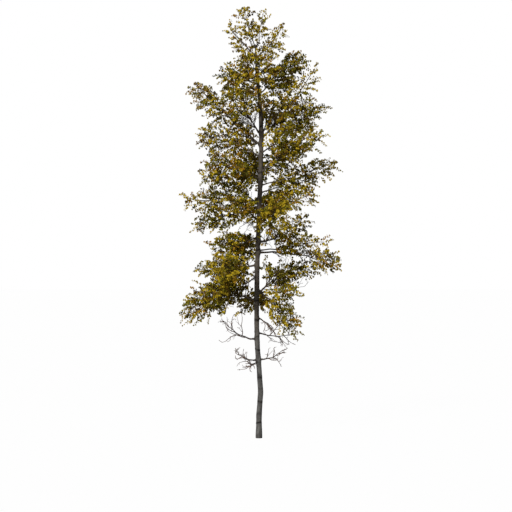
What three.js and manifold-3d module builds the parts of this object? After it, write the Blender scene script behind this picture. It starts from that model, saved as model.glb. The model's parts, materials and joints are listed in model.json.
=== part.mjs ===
// A slender poplar, 14 m tall, standing on level ground in autumn.
// Frame: millimetres, +Z up, +X to the viewer's right, +Y away from the viewer.
// The origin is the middle of the flat cut under the trunk, at ground level.
//
// One winding trunk runs from the ground to a thin leader near the top. Boughs leave it in all
// directions and each carries one mass of foliage. The lowest boughs are dead and bare.
import * as THREE from 'three';
import { mergeVertices } from 'three/addons/utils/BufferGeometryUtils.js';
import Module from 'manifold-3d';

const wasm = await Module();
wasm.setup();

// --- Driving dimensions -------------------------------------------------------------------

const TRUNK_HEIGHT = 12800; // ground to the tip of the leader
const STEM_RADIUS = 73; // of the long, nearly even middle of the trunk
const FOOT_SWELL = 26; // how much thicker the trunk is at the ground
const SWELL_HEIGHT = 3000; // over which that swelling dies away
const ROOT_FLARE = 7; // the slight flare at the very foot
const FLARE_HEIGHT = 130;
const LEADER_RADIUS = 7; // at the tip
const TRUNK_SIDES = 12;
const TRUNK_RINGS = 22;

const BOUGH_SIDES = 6;
const BOUGH_RINGS = 3;
const DEAD_BOUGH_RINGS = 5;
const BOUGH_RADIUS = 34; // where a bough leaves the trunk
const BOUGH_TAPER = 0.4; // share of that radius lost by the time it enters its foliage
const BOUGH_ENTRY = 60; // how far a bough reaches into its foliage
const DEAD_TIP_RADIUS = 8;
const SHOWN_LENGTH = 600; // bare length over which a bough is a solid of its own

const SMALL_MASS = 375; // a mass thinner than this is shaped from a coarser ball
const SKEW = 0.16; // how far the fullest part of a mass may slide along its bough
const LUMP_SHARE = 0.36; // how uneven a mass is, as a share of its girth
const INNER_FULLNESS = 0.5; // how much thicker the end of a mass next to the trunk is
const CLEARANCE = 3; // between a mass and the wood that passes through it
const GAP = 4; // between two masses that meet
const FIT = 0.5; // between a bough and the trunk

// Where the trunk's middle stands, as [height, to the right, to the back].
const TRUNK_SWAY = [
  [0, 0, 0],
  [500, -14, 10],
  [1500, 54, 35],
  [2300, 0, 50],
  [3200, -66, 30],
  [5400, -60, -30],
  [7000, -8, -50],
  [9800, 76, 0],
  [10800, 40, 35],
  [11700, -55, 30],
  [12800, -123, 0],
];

// A bough leaves the trunk at `height` on compass `bearing` (degrees anticlockwise from +X, seen
// from above, so 180 is left and 270 is towards the viewer). Its line ends `reach` out from the
// trunk and `rise` above where it left, and `arch` lifts its middle. Foliage wraps the line
// from the share `bare` to its end, `wide` to each side and `deep` above and below, and narrows
// by `taper` towards the tip.
const LEAFY_COLUMNS = [
  'name', 'tint', 'height', 'bearing', 'reach', 'rise', 'arch', 'bare', 'wide', 'deep', 'taper',
];
const LEAFY_ROWS = [
  // The skirt of the crown.
  ['left_skirt', 'gold', 4450, 187, 2320, -440, 380, 0.4, 560, 540, 0.22],
  ['left_low', 'olive', 4770, 158, 1650, -380, 300, 0.16, 520, 560, 0],
  ['back_low', 'gold', 4250, 92, 2100, 250, 60, 0.28, 480, 340, 0.1],
  ['right_drop', 'gold', 4580, 342, 1220, -1180, 330, 0.22, 470, 430, 0.2],
  ['right_flat', 'olive', 4700, 325, 1560, 200, -60, 0.2, 420, 210, 0.1],
  ['right_under', 'olive', 4640, 16, 2000, 860, 290, 0.28, 480, 320, 0.2],
  ['left_arm', 'olive', 5630, 176, 2060, -120, -110, 0.34, 460, 380, 0.25],
  ['front_low', 'gold', 5230, 234, 2050, 520, -60, 0.24, 480, 400, 0.1],
  ['right_long', 'gold', 6040, 2, 2680, -400, 110, 0.58, 480, 400, 0.4],
  // The waist.
  ['left_mid', 'olive', 5750, 168, 1500, 340, 300, 0.3, 560, 480, 0],
  ['right_shelf', 'gold', 6100, 348, 2340, 280, 40, 0.22, 430, 440, 0.6],
  ['back_waist', 'olive', 5900, 108, 2200, 560, 60, 0.25, 480, 370, 0.1],
  ['right_shelf_up', 'gold', 6370, 24, 1780, 960, -250, 0.3, 430, 370, 0.15],
  ['left_droop', 'olive', 6950, 162, 2120, -180, 420, 0.24, 500, 500, 0.35],
  ['front_waist', 'gold', 6430, 288, 1950, 1050, 60, 0.24, 430, 380, 0.1],
  // The middle of the crown.
  ['left_long', 'gold', 7700, 183, 2560, 100, -60, 0.3, 480, 390, 0.45],
  ['front_mid', 'bronze', 7000, 246, 2050, 700, 60, 0.28, 430, 360, 0.1],
  ['right_mid', 'gold', 7250, 344, 1990, 820, 60, 0.2, 460, 440, 0.35],
  ['back_mid', 'bronze', 7100, 72, 2250, 750, 80, 0.22, 520, 400, 0.1],
  ['left_rise', 'olive', 7800, 196, 2120, 620, 130, 0.14, 450, 430, 0.1],
  ['right_outer', 'gold', 7800, 6, 2560, 1250, 40, 0.14, 470, 560, 0.42],
  ['left_fan', 'bronze', 8150, 216, 2050, 780, 120, 0.2, 470, 400, 0.15],
  ['back_high', 'olive', 8300, 104, 2150, 950, 80, 0.2, 560, 480, 0],
  ['right_inner', 'bronze', 8770, 38, 1800, 860, -40, 0.18, 430, 400, 0.1],
  ['right_front', 'olive', 8700, 330, 2150, 1100, 160, 0.14, 520, 380, 0.2],
  // The shoulders.
  ['left_shoulder', 'gold', 9030, 190, 2000, 860, 90, 0.25, 460, 470, 0.15],
  ['left_crest', 'gold', 9480, 174, 2230, 2090, -30, 0.46, 500, 430, 0.2],
  ['right_crest', 'gold', 9580, 6, 2120, 1600, 170, 0.12, 560, 660, 0.2],
  ['left_inner', 'olive', 9800, 214, 1100, 1500, -60, 0.42, 430, 420, 0],
  ['right_sweep', 'gold', 9700, 350, 1850, 2420, -120, 0.28, 440, 560, 0.82],
  // The top.
  ['left_top', 'olive', 10900, 152, 1430, 1120, 100, 0.2, 540, 480, 0.1],
  ['right_top', 'olive', 10900, 24, 1430, 1640, 60, 0.2, 480, 480, 0.15],
  ['front_top', 'bronze', 11400, 252, 900, 1050, 60, 0.2, 700, 470, 0.1],
  ['top_left', 'gold', 12200, 168, 960, 1390, 0, 0.05, 280, 260, 0.2],
  ['top_middle', 'gold', 12350, 196, 400, 1620, 0, 0.2, 290, 290, 0],
  ['top_right', 'gold', 12450, 20, 260, 1400, 0, 0.25, 230, 200, 0],
  ['top_spike', 'gold', 12150, 350, 960, 1370, -60, 0.1, 350, 340, 0.6],
  // The heart of the crown, close round the trunk.
  ['heart_right_low', 'olive', 7900, 30, 1250, 430, 20, 0.2, 400, 290, 0],
  ['heart_front', 'bronze', 10500, 250, 850, 700, 20, 0.2, 400, 330, 0],
  ['heart_left', 'gold', 9300, 165, 1350, 1350, 20, 0.15, 420, 340, 0],
  ['heart_back', 'gold', 9900, 60, 1200, 1250, 0, 0.2, 400, 330, 0],
  ['heart_right', 'olive', 9150, 318, 1400, 900, 20, 0.2, 420, 330, 0],
];

// The dead boughs have the same kind of line, and `swing` bends their middle sideways.
const DEAD_COLUMNS = ['name', 'height', 'bearing', 'reach', 'rise', 'arch', 'swing', 'radius'];
const DEAD_ROWS = [
  ['left_low', 2520, 172, 760, 230, -70, 60, 27],
  ['front_low', 2500, 250, 760, -120, -60, -90, 27],
  ['right_low', 2560, 352, 800, 300, -110, -50, 28],
  ['left_high', 3230, 184, 1100, 590, -200, 70, 28],
  ['right_high', 3410, 12, 1260, -60, -70, 60, 26],
  ['right_stub', 3900, 330, 620, -430, 90, 40, 25],
];

function namedRows(columns, rows) {
  return rows.map((row) => Object.fromEntries(columns.map((column, i) => [column, row[i]])));
}
const LEAFY = namedRows(LEAFY_COLUMNS, LEAFY_ROWS);
const DEAD = namedRows(DEAD_COLUMNS, DEAD_ROWS);

const FINISH = {
  bark: { color: 0x6f6f69, roughness: 0.85, metalness: 0 },
  dead_wood: { color: 0x5e5751, roughness: 0.9, metalness: 0 },
  gold: { color: 0xb59a1e, roughness: 0.6, metalness: 0 },
  olive: { color: 0x7d7a1c, roughness: 0.6, metalness: 0 },
  bronze: { color: 0x6e4f16, roughness: 0.6, metalness: 0 },
};

// --- Solids -------------------------------------------------------------------------------

// A closed three.js geometry as a manifold-3d solid.
function solidFrom(geometry) {
  const bare = new THREE.BufferGeometry();
  bare.setAttribute('position', geometry.getAttribute('position'));
  if (geometry.index) bare.setIndex(geometry.index);
  const merged = mergeVertices(bare, 1e-3);
  return new wasm.Manifold(new wasm.Mesh({
    numProp: 3,
    vertProperties: merged.getAttribute('position').array,
    triVerts: new Uint32Array(merged.index.array),
  }));
}

// A manifold-3d solid as a three.js geometry with flat faces.
function geometryFrom(solid) {
  const mesh = solid.getMesh();
  const geometry = new THREE.BufferGeometry();
  geometry.setAttribute('position', new THREE.BufferAttribute(mesh.vertProperties, 3));
  geometry.setIndex(new THREE.BufferAttribute(mesh.triVerts, 1));
  return geometry;
}

// The largest of the pieces that a cut left.
function largestPiece(solid) {
  const pieces = solid.decompose();
  return pieces.reduce((best, piece) => (piece.volume() > best.volume() ? piece : best));
}

function moveVertices(geometry, place) {
  const position = geometry.getAttribute('position');
  const vertex = new THREE.Vector3();
  for (let i = 0; i < position.count; i += 1) {
    vertex.fromBufferAttribute(position, i);
    position.setXYZ(i, ...place(vertex));
  }
  return geometry;
}

// A round bar bent along `place`, which gives a vertex from its share of the length and its
// place on the unit circle.
function bar(sides, rings, place) {
  const cylinder = new THREE.CylinderGeometry(1, 1, 1, sides, rings);
  return moveVertices(cylinder, (v) => place(v.y + 0.5, v.x, v.z));
}

// --- Trunk --------------------------------------------------------------------------------

const trunkLine = new THREE.CatmullRomCurve3(
  TRUNK_SWAY.map(([height, right, back]) => new THREE.Vector3(right, back, height)),
);

// The trunk's middle at a height, found by halving, because its heights rise all the way.
function trunkAt(height) {
  let low = 0;
  let high = 1;
  for (let i = 0; i < 30; i += 1) {
    const middle = (low + high) / 2;
    if (trunkLine.getPoint(middle).z < height) low = middle;
    else high = middle;
  }
  return trunkLine.getPoint(low);
}

function trunkRadius(height) {
  const upTheTree = Math.min(1, height / TRUNK_HEIGHT);
  const stem = STEM_RADIUS * (1 - upTheTree ** 10) ** 0.6;
  const swell = FOOT_SWELL * Math.exp(-height / SWELL_HEIGHT);
  const flare = ROOT_FLARE * Math.exp(-height / FLARE_HEIGHT);
  return Math.max(LEADER_RADIUS, stem + swell + flare);
}

// Rings stand level, so the foot is a flat cut. They crowd together towards the tip.
function trunkGeometry(extra = 0) {
  return bar(TRUNK_SIDES, TRUNK_RINGS, (share, x, y) => {
    const height = TRUNK_HEIGHT * (1 - (1 - share) ** 1.3);
    const middle = trunkAt(height);
    const radius = trunkRadius(height) + extra;
    return [middle.x + y * radius, middle.y + x * radius, height + extra * share];
  });
}

// --- Boughs and foliage -------------------------------------------------------------------

// The line of a bough and the two directions across it.
function boughLine(bough) {
  const angle = THREE.MathUtils.degToRad(bough.bearing);
  const outward = new THREE.Vector3(Math.cos(angle), Math.sin(angle), 0);
  const side = new THREE.Vector3(-Math.sin(angle), Math.cos(angle), 0);
  const start = trunkAt(bough.height);
  const end = start.clone().addScaledVector(outward, bough.reach);
  end.z += bough.rise;
  const middle = start.clone().lerp(end, 0.5);
  middle.z += 2 * bough.arch;
  middle.addScaledVector(side, 2 * (bough.swing ?? 0));
  return { curve: new THREE.QuadraticBezierCurve3(start, middle, end), side };
}

// A point off the line: `across` to the side and `above` it, square to the line's direction.
function besideLine({ curve, side }, share, across, above, beyond = 0) {
  const along = curve.getTangentAt(share);
  const up = along.clone().cross(side).normalize();
  return curve.getPointAt(share)
    .addScaledVector(side, across)
    .addScaledVector(up, above)
    .addScaledVector(along, beyond);
}

function limbGeometry(line, lastShare, radiusAt, rings, extra) {
  return bar(BOUGH_SIDES, rings, (share, x, y) => {
    const radius = radiusAt(share) + extra;
    return besideLine(line, share * lastShare, y * radius, x * radius, extra * share);
  });
}

function bareLength(bough) {
  return bough.bare * boughLine(bough).curve.getLength();
}

function boughGeometry(bough, extra = 0) {
  const line = boughLine(bough);
  const lastShare = bough.bare + BOUGH_ENTRY / line.curve.getLength();
  const radiusAt = (share) => BOUGH_RADIUS * (1 - BOUGH_TAPER * share);
  return limbGeometry(line, lastShare, radiusAt, BOUGH_RINGS, extra);
}

function deadGeometry(bough, extra = 0) {
  const radiusAt = (share) => THREE.MathUtils.lerp(bough.radius, DEAD_TIP_RADIUS, share);
  return limbGeometry(boughLine(bough), 1, radiusAt, DEAD_BOUGH_RINGS, extra);
}

// Hollows and bulges of a mass: three crossed waves whose phases come from its number.
function lumps(v, number) {
  const phase = number * 2.4;
  const broad = Math.sin(3.1 * v.x + phase) * Math.cos(2.7 * v.y - phase);
  const cross = Math.sin(4.6 * v.y + 1.7 * phase) * Math.cos(4.1 * v.z + phase);
  const fine = Math.sin(6.2 * v.z - 1.3 * phase) * Math.sin(5.8 * v.x + 0.6 * phase);
  return 1 + LUMP_SHARE * (0.5 * broad + 0.55 * cross + 0.5 * fine);
}

// A ball drawn out along the leafy end of the bough's line.
function foliageGeometry(bough, number) {
  const line = boughLine(bough);
  const detail = Math.min(bough.wide, bough.deep) < SMALL_MASS ? 1 : 2;
  const ball = new THREE.IcosahedronGeometry(1, detail);
  const skew = SKEW * Math.sin(number * 1.9);
  return moveVertices(ball, (v) => {
    const share = (v.x + 1) / 2 + skew * (1 - v.x * v.x);
    const along = THREE.MathUtils.lerp(bough.bare, 1, share);
    const fullness = 1 + INNER_FULLNESS * Math.max(0, -v.x);
    const girth = lumps(v, number) * fullness * (1 - bough.taper * share);
    return besideLine(line, along, v.y * bough.wide * girth, v.z * bough.deep * girth);
  });
}

// Two masses that overlap are both cut back from one plane between them.
function partMasses(masses) {
  masses.forEach((a, i) => masses.slice(i + 1).forEach((b) => {
    const common = a.solid.intersect(b.solid);
    if (common.volume() <= 0) return;
    const box = common.boundingBox();
    const meeting = new THREE.Vector3(...box.min).add(new THREE.Vector3(...box.max)).divideScalar(2);
    const apart = b.heart.clone().sub(a.heart).normalize();
    const level = apart.dot(meeting);
    a.solid = largestPiece(a.solid.trimByPlane(apart.clone().negate().toArray(), GAP / 2 - level));
    b.solid = largestPiece(b.solid.trimByPlane(apart.toArray(), level + GAP / 2));
  }));
}

// --- The tree -----------------------------------------------------------------------------

const tree = new THREE.Group();
tree.name = 'poplar_tree';

function add(name, solid, finish) {
  const mesh = new THREE.Mesh(geometryFrom(solid), new THREE.MeshStandardMaterial(FINISH[finish]));
  mesh.name = name;
  tree.add(mesh);
}

const trunk = solidFrom(trunkGeometry());
add('trunk', trunk, 'bark');

const trunkFit = solidFrom(trunkGeometry(FIT));
const woodHoles = [solidFrom(trunkGeometry(CLEARANCE))];

// A limb starts at the trunk's surface, and leaves a hole in any mass that it passes through.
function addLimb(name, shape, bough, finish) {
  add(name, largestPiece(solidFrom(shape(bough)).subtract(trunkFit)), finish);
  woodHoles.push(solidFrom(shape(bough, CLEARANCE)));
}

for (const bough of LEAFY.filter((each) => bareLength(each) > SHOWN_LENGTH)) {
  addLimb(`bough_${bough.name}`, boughGeometry, bough, 'bark');
}
for (const bough of DEAD) {
  addLimb(`dead_bough_${bough.name}`, deadGeometry, bough, 'dead_wood');
}

const masses = LEAFY.map((bough, number) => ({
  name: bough.name,
  tint: bough.tint,
  solid: solidFrom(foliageGeometry(bough, number)),
  heart: boughLine(bough).curve.getPointAt((bough.bare + 1) / 2),
}));
partMasses(masses);
for (const mass of masses) {
  const cut = woodHoles.reduce((solid, hole) => solid.subtract(hole), mass.solid);
  add(`foliage_${mass.name}`, largestPiece(cut), mass.tint);
}

export default tree;
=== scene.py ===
# %% [markdown]
# # A poplar in autumn
# A poplar of the aspen kind is a slim, winding grey stem with short boughs all round it, and round leaves
# that hang on long stalks. This lesson grows one, 14 m tall. The frame gives its trunk, its main boughs and
# the masses that its foliage fills. We give the wood a real bark, then let twigs grow into each mass and
# hang single leaves on them.

import json
import math

import bpy
import numpy as np
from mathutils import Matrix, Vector


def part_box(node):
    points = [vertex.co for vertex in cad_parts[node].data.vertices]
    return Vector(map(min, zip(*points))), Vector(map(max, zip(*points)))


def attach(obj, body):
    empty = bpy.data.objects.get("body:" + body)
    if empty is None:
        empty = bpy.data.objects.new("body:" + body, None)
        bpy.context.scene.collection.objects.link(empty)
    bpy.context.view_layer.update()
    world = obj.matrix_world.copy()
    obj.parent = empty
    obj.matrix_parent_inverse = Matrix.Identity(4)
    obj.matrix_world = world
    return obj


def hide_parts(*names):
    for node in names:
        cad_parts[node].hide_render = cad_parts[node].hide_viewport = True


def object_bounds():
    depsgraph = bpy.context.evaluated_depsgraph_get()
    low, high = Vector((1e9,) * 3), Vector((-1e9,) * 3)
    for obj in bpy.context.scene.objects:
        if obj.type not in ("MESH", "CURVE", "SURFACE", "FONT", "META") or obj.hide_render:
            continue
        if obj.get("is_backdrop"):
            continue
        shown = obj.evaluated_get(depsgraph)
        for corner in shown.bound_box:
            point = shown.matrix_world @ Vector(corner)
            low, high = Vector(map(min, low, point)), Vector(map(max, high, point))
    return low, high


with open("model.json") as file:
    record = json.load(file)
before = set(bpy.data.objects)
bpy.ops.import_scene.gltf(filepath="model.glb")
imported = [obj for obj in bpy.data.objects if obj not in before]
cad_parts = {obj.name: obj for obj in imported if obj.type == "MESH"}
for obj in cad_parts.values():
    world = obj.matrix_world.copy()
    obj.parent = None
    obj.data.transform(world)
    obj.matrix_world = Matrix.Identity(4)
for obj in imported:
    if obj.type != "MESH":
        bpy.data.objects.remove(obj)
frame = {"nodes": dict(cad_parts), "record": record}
frame_low, frame_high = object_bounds()
slot_of_solid = {row["node"]: row["material_slot"] for row in frame["record"]["subparts"]}
print("solids in the frame:", len(frame["nodes"]))

# %% [markdown]
# ## Camera
# A tall tree seen whole needs a long lens from far away, so that its foot and its top are seen almost square
# on. The camera stands 45 m off, level, at the height of a third-floor window. A short lens close by would
# show the same height, but would look up into the crown and make the foot too thick.

# %% Camera
CAMERA_DISTANCE = 45.0
CAMERA_HEIGHT = 5.91
CAMERA_RIGHT = -0.097
LENS = 97.4

camera = bpy.data.objects.new("camera", bpy.data.cameras.new("camera"))
camera.location = (CAMERA_RIGHT, -CAMERA_DISTANCE, CAMERA_HEIGHT)
camera.rotation_euler = (math.radians(90), 0, 0)
camera.data.lens = LENS
camera.data.sensor_width = 36.0
camera.data.clip_end = 1000.0
bpy.context.scene.collection.objects.link(camera)
bpy.context.scene.camera = camera
bpy.context.scene.view_settings.view_transform = "Standard"
print("camera: %.0f m off, %.2f m up" % (CAMERA_DISTANCE, CAMERA_HEIGHT))

# %% [markdown]
# ## Sun and sky
# A bright, hazy autumn day has one soft sun, here from the upper left, and light from all over the sky. Area
# lamps could do the same, but for a tree this tall they would have to be huge. So we use a sun lamp with a
# wide angle and a white world. A Light Path node makes the sky white to the camera, while it lights the tree
# less.

# %% Sun and sky
SUN_STRENGTH = 3.8
SUN_SOFTNESS = math.radians(9)
SUN_FROM = (-0.50, -0.85, 0.75)
SUN_COLOUR = (1.0, 0.97, 0.92)
SKY_STRENGTH = 0.25

sun = bpy.data.objects.new("sun", bpy.data.lights.new("sun", "SUN"))
sun.data.energy = SUN_STRENGTH
sun.data.angle = SUN_SOFTNESS
sun.data.color = SUN_COLOUR
sun.rotation_euler = Vector(SUN_FROM).to_track_quat("Z", "Y").to_euler()
bpy.context.scene.collection.objects.link(sun)

sky = bpy.data.worlds.new("pale_sky")
sky.use_nodes = True
bpy.context.scene.world = sky
sky_nodes = sky.node_tree.nodes
background = sky_nodes["Background"]
background.inputs["Color"].default_value = (1, 1, 1, 1)
path = sky_nodes.new("ShaderNodeLightPath")
strength = sky_nodes.new("ShaderNodeMapRange")
strength.inputs["To Min"].default_value = SKY_STRENGTH
strength.inputs["To Max"].default_value = 1.0
sky.node_tree.links.new(path.outputs["Is Camera Ray"], strength.inputs["Value"])
sky.node_tree.links.new(strength.outputs["Result"], background.inputs["Strength"])
print("light: a sun of strength %.1f and a sky of %.2f" % (SUN_STRENGTH, SKY_STRENGTH))

# %% [markdown]
# ## Floor
# The tree stands on level ground, which only has to be plain and pale: one large plane. To the camera it
# glows almost white, so that no horizon shows. To every other ray it is plain grey, and sends a little soft
# light back up into the crown. It is marked as a stage, because it is no part of the tree.

# %% Floor
FLOOR_SIZE = 400.0
FLOOR_COLOUR = (0.42, 0.42, 0.41, 1)
FLOOR_ROUGHNESS = 0.9
FLOOR_GLOW = 0.985  # how much of what the camera sees of it is glow

bpy.ops.mesh.primitive_plane_add(size=FLOOR_SIZE)
floor = bpy.context.object
floor.name = "floor"
pale = bpy.data.materials.new("pale_floor")
pale.use_nodes = True
pale_nodes = pale.node_tree.nodes
pale_shader = pale_nodes["Principled BSDF"]
pale_shader.inputs["Base Color"].default_value = FLOOR_COLOUR
pale_shader.inputs["Roughness"].default_value = FLOOR_ROUGHNESS
glow = pale_nodes.new("ShaderNodeEmission")
blend = pale_nodes.new("ShaderNodeMixShader")
ray = pale_nodes.new("ShaderNodeLightPath")
share = pale_nodes.new("ShaderNodeMapRange")
share.inputs["To Max"].default_value = FLOOR_GLOW
pale.node_tree.links.new(ray.outputs["Is Camera Ray"], share.inputs["Value"])
pale.node_tree.links.new(share.outputs["Result"], blend.inputs["Fac"])
pale.node_tree.links.new(pale_shader.outputs["BSDF"], blend.inputs[1])
pale.node_tree.links.new(glow.outputs["Emission"], blend.inputs[2])
pale.node_tree.links.new(blend.outputs["Shader"], pale_nodes["Material Output"].inputs["Surface"])
floor.data.materials.append(pale)
floor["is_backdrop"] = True
print("floor: %.0f m wide" % FLOOR_SIZE)

# %% [markdown]
# ## Reading the solids
# Nothing here is placed by guesswork: every piece starts from a solid of the frame. The first question about
# a limb is where its middle is, and how thick it is, at a given cut. Blender can cut a mesh with a tool of
# its own, but the edges that cross a plane are found at once with arrays, and that leaves the solid as it
# is.

# %% Cuts through a solid
def solid_of(name):
    """Corner points and triangles of a solid of the frame."""
    mesh = frame["nodes"][name].data
    mesh.calc_loop_triangles()
    points = np.empty(3 * len(mesh.vertices), np.float32)
    mesh.vertices.foreach_get("co", points)
    corners = np.empty(3 * len(mesh.loop_triangles), np.int32)
    mesh.loop_triangles.foreach_get("vertices", corners)
    return points.reshape(-1, 3).astype(float), corners.reshape(-1, 3)


def cut(solid, origin, direction):
    """Middle and mean radius of the outline where a plane cuts a solid, or None where it misses."""
    points, triangles = solid
    height = (points - origin) @ direction
    edges = triangles[:, [0, 1, 1, 2, 2, 0]].reshape(-1, 2)
    one, other = height[edges[:, 0]], height[edges[:, 1]]
    crossed = (one < 0) != (other < 0)
    if not crossed.any():
        return None
    share = (one[crossed] / (one[crossed] - other[crossed]))[:, None]
    met = points[edges[crossed, 0]] * (1 - share) + points[edges[crossed, 1]] * share
    middle = met.mean(0)
    return middle, np.linalg.norm(met - middle, axis=1).mean()


def unit(vectors):
    return vectors / np.maximum(np.linalg.norm(vectors, axis=-1, keepdims=True), 1e-9)


def middle_line(solid, near, shares):
    """Middles and radii of a long solid, cut square to its length, from the end next to `near` outwards."""
    points = solid[0]
    away = np.linalg.norm(points - near, axis=1)
    first, last = points[away.argmin()], points[away.argmax()]
    direction = unit(last - first)
    cuts = [cut(solid, first + (last - first) * share, direction) for share in shares]
    cuts = [each for each in cuts if each is not None]
    return np.array([each[0] for each in cuts]), np.array([each[1] for each in cuts])


# %% [markdown]
# ## Inside or outside
# Leaves may only grow inside their own mass, so we must know which points lie in a solid. Blender can cast
# rays, but one at a time. A point is inside when a ray straight up from it meets the faces an odd number of
# times, and that is counted for thousands of points in one go.

# %% Points inside a solid
SLIVER = 1e-12  # faces that look thinner than this from above are left out


def inside(solid, points):
    """Which points lie inside a closed solid: a ray straight up leaves it an odd number of times."""
    corners = solid[0][solid[1]]
    a, b, c = corners[:, 0], corners[:, 1], corners[:, 2]
    doubled = (b[:, 0] - a[:, 0]) * (c[:, 1] - a[:, 1]) - (c[:, 0] - a[:, 0]) * (b[:, 1] - a[:, 1])
    seen = np.abs(doubled) > SLIVER
    a, b, c, doubled = a[seen], b[seen], c[seen], doubled[seen]
    x, y, z = (points[:, None, axis] for axis in range(3))
    to_b = ((x - a[:, 0]) * (c[:, 1] - a[:, 1]) - (c[:, 0] - a[:, 0]) * (y - a[:, 1])) / doubled
    to_c = ((b[:, 0] - a[:, 0]) * (y - a[:, 1]) - (x - a[:, 0]) * (b[:, 1] - a[:, 1])) / doubled
    under = (to_b > 0) & (to_c > 0) & (to_b + to_c < 1)
    height = a[:, 2] + to_b * (b[:, 2] - a[:, 2]) + to_c * (c[:, 2] - a[:, 2])
    return (under & (height > z)).sum(1) % 2 == 1


# %% [markdown]
# ## The trunk's line
# Everything on the tree hangs on its stem, so that is measured first: its middle and its radius, every
# hand's breadth from the ground to the tip. A helper then gives both at any height.

# %% The trunk's line
TRUNK_STEP = 0.1
TRUNK_MARGIN = 0.02  # the cuts keep this far from both ends
UP = np.array([0, 0, 1.0])

trunk_solid = solid_of("trunk")
trunk_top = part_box("trunk")[1].z
trunk_heights = np.arange(TRUNK_MARGIN, trunk_top - TRUNK_MARGIN, TRUNK_STEP)
trunk_cuts = [cut(trunk_solid, height * UP, UP) for height in trunk_heights]
trunk_middles = np.array([each[0] for each in trunk_cuts])
trunk_radii = np.array([each[1] for each in trunk_cuts])


def trunk_at(height):
    """The trunk's middle and radius at a height, or at many."""
    x = np.interp(height, trunk_heights, trunk_middles[:, 0])
    y = np.interp(height, trunk_heights, trunk_middles[:, 1])
    return np.stack([x, y, np.asarray(height, float)], -1), np.interp(height, trunk_heights, trunk_radii)


print("trunk: %.1f m tall, %.0f mm thick at the foot" % (trunk_top, 2000 * trunk_radii[0]))

# %% [markdown]
# ## Making meshes from arrays
# A tree has hundreds of thousands of faces, so its meshes are made from arrays and not with modelling tools.
# One helper turns points and faces into an object, gives it its finish, and lets it ride on the tree.

# %% Pieces
def add_piece(name, points, faces, material, slot, smooth=True):
    """A mesh object from an array of points and an array of faces, riding on the tree."""
    mesh = bpy.data.meshes.new(name)
    mesh.vertices.add(len(points))
    mesh.vertices.foreach_set("co", np.ascontiguousarray(points, np.float32).ravel())
    corners = faces.shape[1]
    mesh.loops.add(faces.size)
    mesh.loops.foreach_set("vertex_index", np.ascontiguousarray(faces, np.int32).ravel())
    mesh.polygons.add(len(faces))
    mesh.polygons.foreach_set("loop_start", np.arange(len(faces), dtype=np.int32) * corners)
    mesh.update(calc_edges=True)
    mesh.validate()
    mesh.polygons.foreach_set("use_smooth", np.full(len(mesh.polygons), smooth))
    mesh.materials.append(material)
    piece = bpy.data.objects.new(name, mesh)
    bpy.context.scene.collection.objects.link(piece)
    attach(piece, "root")
    print("%s: %d triangles" % (name, len(faces) * (corners - 2)))
    return piece


# %% [markdown]
# ## Tubes
# A limb is a tube: a path, a radius at each of its points, and a ring of corners round each. Each ring is
# turned as little as possible from the last, or the tube would look wrung out. Hundreds of such tubes are
# joined as one piece, so a small class collects them first.

# %% Tubes
FULL_TURN = 2 * np.pi


def rings_along(line):
    """Two directions across a path at each point, each pair turned as little as possible from the last."""
    along = unit(np.gradient(line, axis=0))
    level = abs(along[0][2]) < 0.8
    start = np.cross(along[0], (0.0, 0.0, 1.0) if level else (1.0, 0.0, 0.0))
    across = np.empty_like(line)
    across[0] = unit(start)
    for i in range(1, len(line)):
        across[i] = unit(across[i - 1] - along[i] * (across[i - 1] @ along[i]))
    return across, np.cross(along, across)


def tube(line, radii, sides, relief=None):
    """Points and triangles of a limb along a path, closed at both ends. `relief` is added to the radius."""
    across, over = rings_along(line)
    turn = np.arange(sides) * FULL_TURN / sides
    girth = np.repeat(np.asarray(radii)[:, None], sides, 1)
    if relief is not None:
        girth = girth + relief
    spread = np.cos(turn)[None, :, None] * across[:, None] + np.sin(turn)[None, :, None] * over[:, None]
    points = (line[:, None] + spread * girth[..., None]).reshape(-1, 3)
    ring = np.arange(len(line) - 1)[:, None] * sides
    here = np.arange(sides)[None]
    beside = (here + 1) % sides
    low = np.stack([ring + here, ring + beside, ring + sides + beside], -1).reshape(-1, 3)
    high = np.stack([ring + here, ring + sides + beside, ring + sides + here], -1).reshape(-1, 3)
    fan = np.arange(1, sides - 1)
    foot = np.stack([np.zeros_like(fan), fan + 1, fan], -1)
    last = (len(line) - 1) * sides
    tip = np.stack([np.zeros_like(fan), fan, fan + 1], -1) + last
    return points, np.concatenate([low, high, foot, tip])


class Bundle:
    """Collects many small meshes, to be joined as one piece."""

    def __init__(self):
        self.points, self.faces, self.count = [], [], 0

    def add(self, points, faces):
        self.points.append(points)
        self.faces.append(faces + self.count)
        self.count += len(points)

    def joined(self):
        return np.concatenate(self.points), np.concatenate(self.faces)


# %% [markdown]
# ## Smooth paths and natural unevenness
# Cuts through a solid give a rough path with corners, but wood grows in curves, so a curve is run through
# the points. And nothing on a tree is quite even. Plain random numbers would make neighbouring points jump
# about, so we add up a few crossed waves, which change smoothly from place to place.

# %% Smooth paths and waves
def smooth_path(line, step):
    """A path through all the points of a rough one, rounded at its corners, with a point every `step`."""
    line = np.asarray(line, float)
    if len(line) < 3:
        count = max(3, int(np.linalg.norm(line[-1] - line[0]) / step) + 1)
        return line[0] + (line[-1] - line[0]) * np.linspace(0, 1, count)[:, None]
    ends = np.vstack([2 * line[0] - line[1], line, 2 * line[-1] - line[-2]])
    made = []
    for before, a, b, after in zip(ends[:-3], ends[1:-2], ends[2:-1], ends[3:]):
        count = max(2, int(round(np.linalg.norm(b - a) / step)))
        t = np.arange(count)[:, None] / count
        bend = (2 * before - 5 * a + 4 * b - after) * t**2 + (3 * a - before - 3 * b + after) * t**3
        made.append(0.5 * (2 * a + (b - before) * t + bend))
    return np.vstack([*made, line[-1:]])


WAVES = 6
WAVE_HEIGHT = 3.2  # what the sum of so many waves seldom passes


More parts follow.
